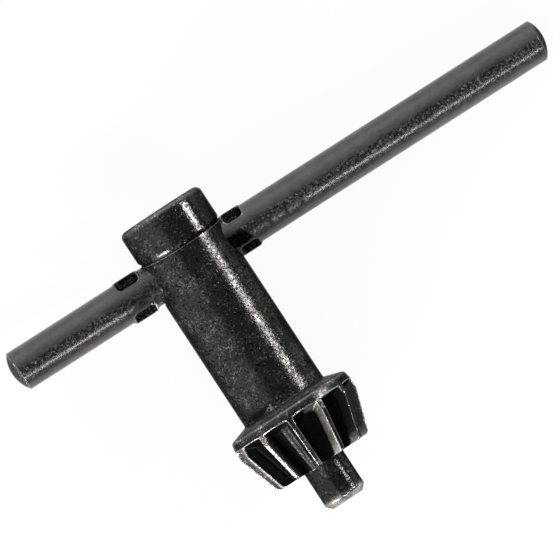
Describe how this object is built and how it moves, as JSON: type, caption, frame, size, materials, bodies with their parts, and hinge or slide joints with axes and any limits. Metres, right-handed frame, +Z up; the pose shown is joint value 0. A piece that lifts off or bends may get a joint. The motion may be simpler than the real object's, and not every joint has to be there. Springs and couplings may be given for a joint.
{
  "type": "drill chuck key",
  "caption": "Drill chuck key: a dark steel body with a bevel pinion and a plain pilot, turned by a cross bar staked through its head.",
  "frame": {"origin": "centre of the key's footprint on the table, at table height, as the key lies at rest on its side", "axes": "+Z up from the table, +X along the cross bar towards its long arm, +Y towards the top of the head"},
  "size_m": [0.0872, 0.0484, 0.0191],
  "materials": {
    "black_oxide_steel": "black oxide over turned and milled steel, satin, worn bright on the tooth edges and the pilot's tip",
    "bar_steel": "thinner black oxide over drawn bar, smooth dark grey satin"
  },
  "bodies": {
    "root": {"key_body": "black_oxide_steel", "cross_bar": "bar_steel"}
  },
  "joints": []
}
